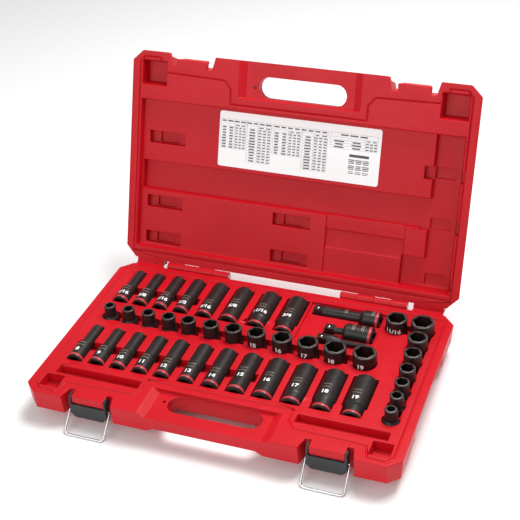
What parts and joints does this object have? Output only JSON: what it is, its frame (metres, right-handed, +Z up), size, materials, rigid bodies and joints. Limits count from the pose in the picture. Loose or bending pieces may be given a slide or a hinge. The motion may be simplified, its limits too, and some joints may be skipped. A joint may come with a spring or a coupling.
{
  "type": "socket wrench set in case",
  "caption": "Hinged moulded carrying case with two wire latches, holding deep and shallow hex sockets, an extension bar, a universal joint and a hex shank adapter.",
  "frame": {"origin": "middle of the underside of the base, on the surface that the case stands on", "axes": "+X to the right along the case, +Y from the handle to the hinges, +Z up; the lid is open at rest"},
  "size_m": [0.424, 0.384, 0.2914],
  "materials": {
    "case_red": "semi-matte moulded polyethylene",
    "lever_black": "moulded, fine grain",
    "black_phosphate": "oiled black phosphate on steel",
    "zinc_steel": "zinc plated",
    "ball_steel": "polished",
    "label_film": "printed film"
  },
  "bodies": {
    "base": {"case_base": "case_red", "hinge_pin_left": "zinc_steel", "hinge_pin_right": "zinc_steel"},
    "lid": {"case_lid": "case_red", "size_label": "label_film"},
    "lever_left": {"latch_lever_left": "lever_black"},
    "bail_left": {"latch_bail_left": "zinc_steel"},
    "lever_right": {"latch_lever_right": "lever_black"},
    "bail_right": {"latch_bail_right": "zinc_steel"},
    "extension_bar": {"extension_bar": "black_phosphate"},
    "extension_ball": {"extension_detent_ball": "ball_steel"},
    "universal_joint": {"universal_joint_head": "black_phosphate", "universal_joint_pin": "black_phosphate"},
    "universal_joint_tang": {"universal_joint_ball_tang": "black_phosphate"},
    "universal_joint_ball": {"universal_joint_detent_ball": "ball_steel"},
    "adapter": {"hex_shank_adapter": "black_phosphate"},
    "adapter_ball": {"adapter_detent_ball": "ball_steel"},
    "deep_socket_8mm": {"deep_socket_8mm": "black_phosphate"},
    "deep_socket_9mm": {"deep_socket_9mm": "black_phosphate"},
    "deep_socket_10mm": {"deep_socket_10mm": "black_phosphate"},
    "deep_socket_11mm": {"deep_socket_11mm": "black_phosphate"},
    "deep_socket_12mm": {"deep_socket_12mm": "black_phosphate"},
    "deep_socket_13mm": {"deep_socket_13mm": "black_phosphate"},
    "deep_socket_14mm": {"deep_socket_14mm": "black_phosphate"},
    "deep_socket_15mm": {"deep_socket_15mm": "black_phosphate"},
    "deep_socket_16mm": {"deep_socket_16mm": "black_phosphate"},
    "deep_socket_17mm": {"deep_socket_17mm": "black_phosphate"},
    "deep_socket_18mm": {"deep_socket_18mm": "black_phosphate"},
    "deep_socket_19mm": {"deep_socket_19mm": "black_phosphate"},
    "deep_socket_5_16in": {"deep_socket_5_16in": "black_phosphate"},
    "deep_socket_3_8in": {"deep_socket_3_8in": "black_phosphate"},
    "deep_socket_7_16in": {"deep_socket_7_16in": "black_phosphate"},
    "deep_socket_1_2in": {"deep_socket_1_2in": "black_phosphate"},
    "deep_socket_9_16in": {"deep_socket_9_16in": "black_phosphate"},
    "deep_socket_5_8in": {"deep_socket_5_8in": "black_phosphate"},
    "deep_socket_11_16in": {"deep_socket_11_16in": "black_phosphate"},
    "deep_socket_3_4in": {"deep_socket_3_4in": "black_phosphate"},
    "short_socket_8mm": {"short_socket_8mm": "black_phosphate"},
    "short_socket_9mm": {"short_socket_9mm": "black_phosphate"},
    "short_socket_10mm": {"short_socket_10mm": "black_phosphate"},
    "short_socket_11mm": {"short_socket_11mm": "black_phosphate"},
    "short_socket_12mm": {"short_socket_12mm": "black_phosphate"},
    "short_socket_13mm": {"short_socket_13mm": "black_phosphate"},
    "short_socket_14mm": {"short_socket_14mm": "black_phosphate"},
    "short_socket_15mm": {"short_socket_15mm": "black_phosphate"},
    "short_socket_16mm": {"short_socket_16mm": "black_phosphate"},
    "short_socket_17mm": {"short_socket_17mm": "black_phosphate"},
    "short_socket_18mm": {"short_socket_18mm": "black_phosphate"},
    "short_socket_19mm": {"short_socket_19mm": "black_phosphate"},
    "short_socket_5_16in": {"short_socket_5_16in": "black_phosphate"},
    "short_socket_3_8in": {"short_socket_3_8in": "black_phosphate"},
    "short_socket_7_16in": {"short_socket_7_16in": "black_phosphate"},
    "short_socket_1_2in": {"short_socket_1_2in": "black_phosphate"},
    "short_socket_9_16in": {"short_socket_9_16in": "black_phosphate"},
    "short_socket_5_8in": {"short_socket_5_8in": "black_phosphate"},
    "short_socket_11_16in": {"short_socket_11_16in": "black_phosphate"},
    "short_socket_3_4in": {"short_socket_3_4in": "black_phosphate"}
  },
  "joints": [
    {"name": "lid_hinge", "type": "hinge", "parent": "base", "child": "lid", "pos_m": [0, 0.135, 0.041], "axis": [-1, 0, 0], "range_deg": [-108.7, 0]},
    {"name": "lever_left_hinge", "type": "hinge", "parent": "base", "child": "lever_left", "pos_m": [-0.135, -0.1213, 0.0362], "axis": [-1, 0, 0], "range_deg": [0, 105]},
    {"name": "bail_left_hinge", "type": "hinge", "parent": "lever_left", "child": "bail_left", "pos_m": [-0.135, -0.121, 0.024], "axis": [1, 0, 0], "range_deg": [-142.4, 0]},
    {"name": "lever_right_hinge", "type": "hinge", "parent": "base", "child": "lever_right", "pos_m": [0.135, -0.1213, 0.0362], "axis": [-1, 0, 0], "range_deg": [0, 105]},
    {"name": "bail_right_hinge", "type": "hinge", "parent": "lever_right", "child": "bail_right", "pos_m": [0.135, -0.121, 0.024], "axis": [1, 0, 0], "range_deg": [-142.4, 0]},
    {"name": "universal_joint_tilt", "type": "hinge", "parent": "universal_joint", "child": "universal_joint_tang", "pos_m": [0.1, 0.069, 0.0395], "axis": [0, 1, 0], "range_deg": [0, 30]},
    {"name": "extension_ball_press", "type": "slide", "parent": "extension_bar", "child": "extension_ball", "axis": [0, 0, 1], "range_m": [-0.0006, 0], "stiffness_N_per_m": 200, "springref_m": 0.002},
    {"name": "universal_joint_ball_press", "type": "slide", "parent": "universal_joint_tang", "child": "universal_joint_ball", "axis": [0, 0, 1], "range_m": [-0.0006, 0], "stiffness_N_per_m": 200, "springref_m": 0.002},
    {"name": "adapter_ball_press", "type": "slide", "parent": "adapter", "child": "adapter_ball", "axis": [0, 0, 1], "range_m": [-0.0006, 0], "stiffness_N_per_m": 200, "springref_m": 0.002},
    {"name": "extension_bar_lift", "type": "slide", "parent": "base", "child": "extension_bar", "axis": [0, 0, 1], "range_m": [0, 0.06]},
    {"name": "universal_joint_lift", "type": "slide", "parent": "base", "child": "universal_joint", "axis": [0, 0, 1], "range_m": [0, 0.06]},
    {"name": "adapter_lift", "type": "slide", "parent": "base", "child": "adapter", "axis": [0, 0, 1], "range_m": [0, 0.06]},
    {"name": "deep_socket_8mm_lift", "type": "slide", "parent": "base", "child": "deep_socket_8mm", "axis": [0, 0, 1], "range_m": [0, 0.06]},
    {"name": "deep_socket_9mm_lift", "type": "slide", "parent": "base", "child": "deep_socket_9mm", "axis": [0, 0, 1], "range_m": [0, 0.06]},
    {"name": "deep_socket_10mm_lift", "type": "slide", "parent": "base", "child": "deep_socket_10mm", "axis": [0, 0, 1], "range_m": [0, 0.06]},
    {"name": "deep_socket_11mm_lift", "type": "slide", "parent": "base", "child": "deep_socket_11mm", "axis": [0, 0, 1], "range_m": [0, 0.06]},
    {"name": "deep_socket_12mm_lift", "type": "slide", "parent": "base", "child": "deep_socket_12mm", "axis": [0, 0, 1], "range_m": [0, 0.06]},
    {"name": "deep_socket_13mm_lift", "type": "slide", "parent": "base", "child": "deep_socket_13mm", "axis": [0, 0, 1], "range_m": [0, 0.06]},
    {"name": "deep_socket_14mm_lift", "type": "slide", "parent": "base", "child": "deep_socket_14mm", "axis": [0, 0, 1], "range_m": [0, 0.06]},
    {"name": "deep_socket_15mm_lift", "type": "slide", "parent": "base", "child": "deep_socket_15mm", "axis": [0, 0, 1], "range_m": [0, 0.06]},
    {"name": "deep_socket_16mm_lift", "type": "slide", "parent": "base", "child": "deep_socket_16mm", "axis": [0, 0, 1], "range_m": [0, 0.06]},
    {"name": "deep_socket_17mm_lift", "type": "slide", "parent": "base", "child": "deep_socket_17mm", "axis": [0, 0, 1], "range_m": [0, 0.06]},
    {"name": "deep_socket_18mm_lift", "type": "slide", "parent": "base", "child": "deep_socket_18mm", "axis": [0, 0, 1], "range_m": [0, 0.06]},
    {"name": "deep_socket_19mm_lift", "type": "slide", "parent": "base", "child": "deep_socket_19mm", "axis": [0, 0, 1], "range_m": [0, 0.06]},
    {"name": "deep_socket_5_16in_lift", "type": "slide", "parent": "base", "child": "deep_socket_5_16in", "axis": [0, 0, 1], "range_m": [0, 0.06]},
    {"name": "deep_socket_3_8in_lift", "type": "slide", "parent": "base", "child": "deep_socket_3_8in", "axis": [0, 0, 1], "range_m": [0, 0.06]},
    {"name": "deep_socket_7_16in_lift", "type": "slide", "parent": "base", "child": "deep_socket_7_16in", "axis": [0, 0, 1], "range_m": [0, 0.06]},
    {"name": "deep_socket_1_2in_lift", "type": "slide", "parent": "base", "child": "deep_socket_1_2in", "axis": [0, 0, 1], "range_m": [0, 0.06]},
    {"name": "deep_socket_9_16in_lift", "type": "slide", "parent": "base", "child": "deep_socket_9_16in", "axis": [0, 0, 1], "range_m": [0, 0.06]},
    {"name": "deep_socket_5_8in_lift", "type": "slide", "parent": "base", "child": "deep_socket_5_8in", "axis": [0, 0, 1], "range_m": [0, 0.06]},
    {"name": "deep_socket_11_16in_lift", "type": "slide", "parent": "base", "child": "deep_socket_11_16in", "axis": [0, 0, 1], "range_m": [0, 0.06]},
    {"name": "deep_socket_3_4in_lift", "type": "slide", "parent": "base", "child": "deep_socket_3_4in", "axis": [0, 0, 1], "range_m": [0, 0.06]},
    {"name": "short_socket_8mm_lift", "type": "slide", "parent": "base", "child": "short_socket_8mm", "axis": [0, 0, 1], "range_m": [0, 0.06]},
    {"name": "short_socket_9mm_lift", "type": "slide", "parent": "base", "child": "short_socket_9mm", "axis": [0, 0, 1], "range_m": [0, 0.06]},
    {"name": "short_socket_10mm_lift", "type": "slide", "parent": "base", "child": "short_socket_10mm", "axis": [0, 0, 1], "range_m": [0, 0.06]},
    {"name": "short_socket_11mm_lift", "type": "slide", "parent": "base", "child": "short_socket_11mm", "axis": [0, 0, 1], "range_m": [0, 0.06]},
    {"name": "short_socket_12mm_lift", "type": "slide", "parent": "base", "child": "short_socket_12mm", "axis": [0, 0, 1], "range_m": [0, 0.06]},
    {"name": "short_socket_13mm_lift", "type": "slide", "parent": "base", "child": "short_socket_13mm", "axis": [0, 0, 1], "range_m": [0, 0.06]},
    {"name": "short_socket_14mm_lift", "type": "slide", "parent": "base", "child": "short_socket_14mm", "axis": [0, 0, 1], "range_m": [0, 0.06]},
    {"name": "short_socket_15mm_lift", "type": "slide", "parent": "base", "child": "short_socket_15mm", "axis": [0, 0, 1], "range_m": [0, 0.06]},
    {"name": "short_socket_16mm_lift", "type": "slide", "parent": "base", "child": "short_socket_16mm", "axis": [0, 0, 1], "range_m": [0, 0.06]},
    {"name": "short_socket_17mm_lift", "type": "slide", "parent": "base", "child": "short_socket_17mm", "axis": [0, 0, 1], "range_m": [0, 0.06]},
    {"name": "short_socket_18mm_lift", "type": "slide", "parent": "base", "child": "short_socket_18mm", "axis": [0, 0, 1], "range_m": [0, 0.06]},
    {"name": "short_socket_19mm_lift", "type": "slide", "parent": "base", "child": "short_socket_19mm", "axis": [0, 0, 1], "range_m": [0, 0.06]},
    {"name": "short_socket_5_16in_lift", "type": "slide", "parent": "base", "child": "short_socket_5_16in", "axis": [0, 0, 1], "range_m": [0, 0.06]},
    {"name": "short_socket_3_8in_lift", "type": "slide", "parent": "base", "child": "short_socket_3_8in", "axis": [0, 0, 1], "range_m": [0, 0.06]},
    {"name": "short_socket_7_16in_lift", "type": "slide", "parent": "base", "child": "short_socket_7_16in", "axis": [0, 0, 1], "range_m": [0, 0.06]},
    {"name": "short_socket_1_2in_lift", "type": "slide", "parent": "base", "child": "short_socket_1_2in", "axis": [0, 0, 1], "range_m": [0, 0.06]},
    {"name": "short_socket_9_16in_lift", "type": "slide", "parent": "base", "child": "short_socket_9_16in", "axis": [0, 0, 1], "range_m": [0, 0.06]},
    {"name": "short_socket_5_8in_lift", "type": "slide", "parent": "base", "child": "short_socket_5_8in", "axis": [0, 0, 1], "range_m": [0, 0.06]},
    {"name": "short_socket_11_16in_lift", "type": "slide", "parent": "base", "child": "short_socket_11_16in", "axis": [0, 0, 1], "range_m": [0, 0.06]},
    {"name": "short_socket_3_4in_lift", "type": "slide", "parent": "base", "child": "short_socket_3_4in", "axis": [0, 0, 1], "range_m": [0, 0.06]}
  ]
}
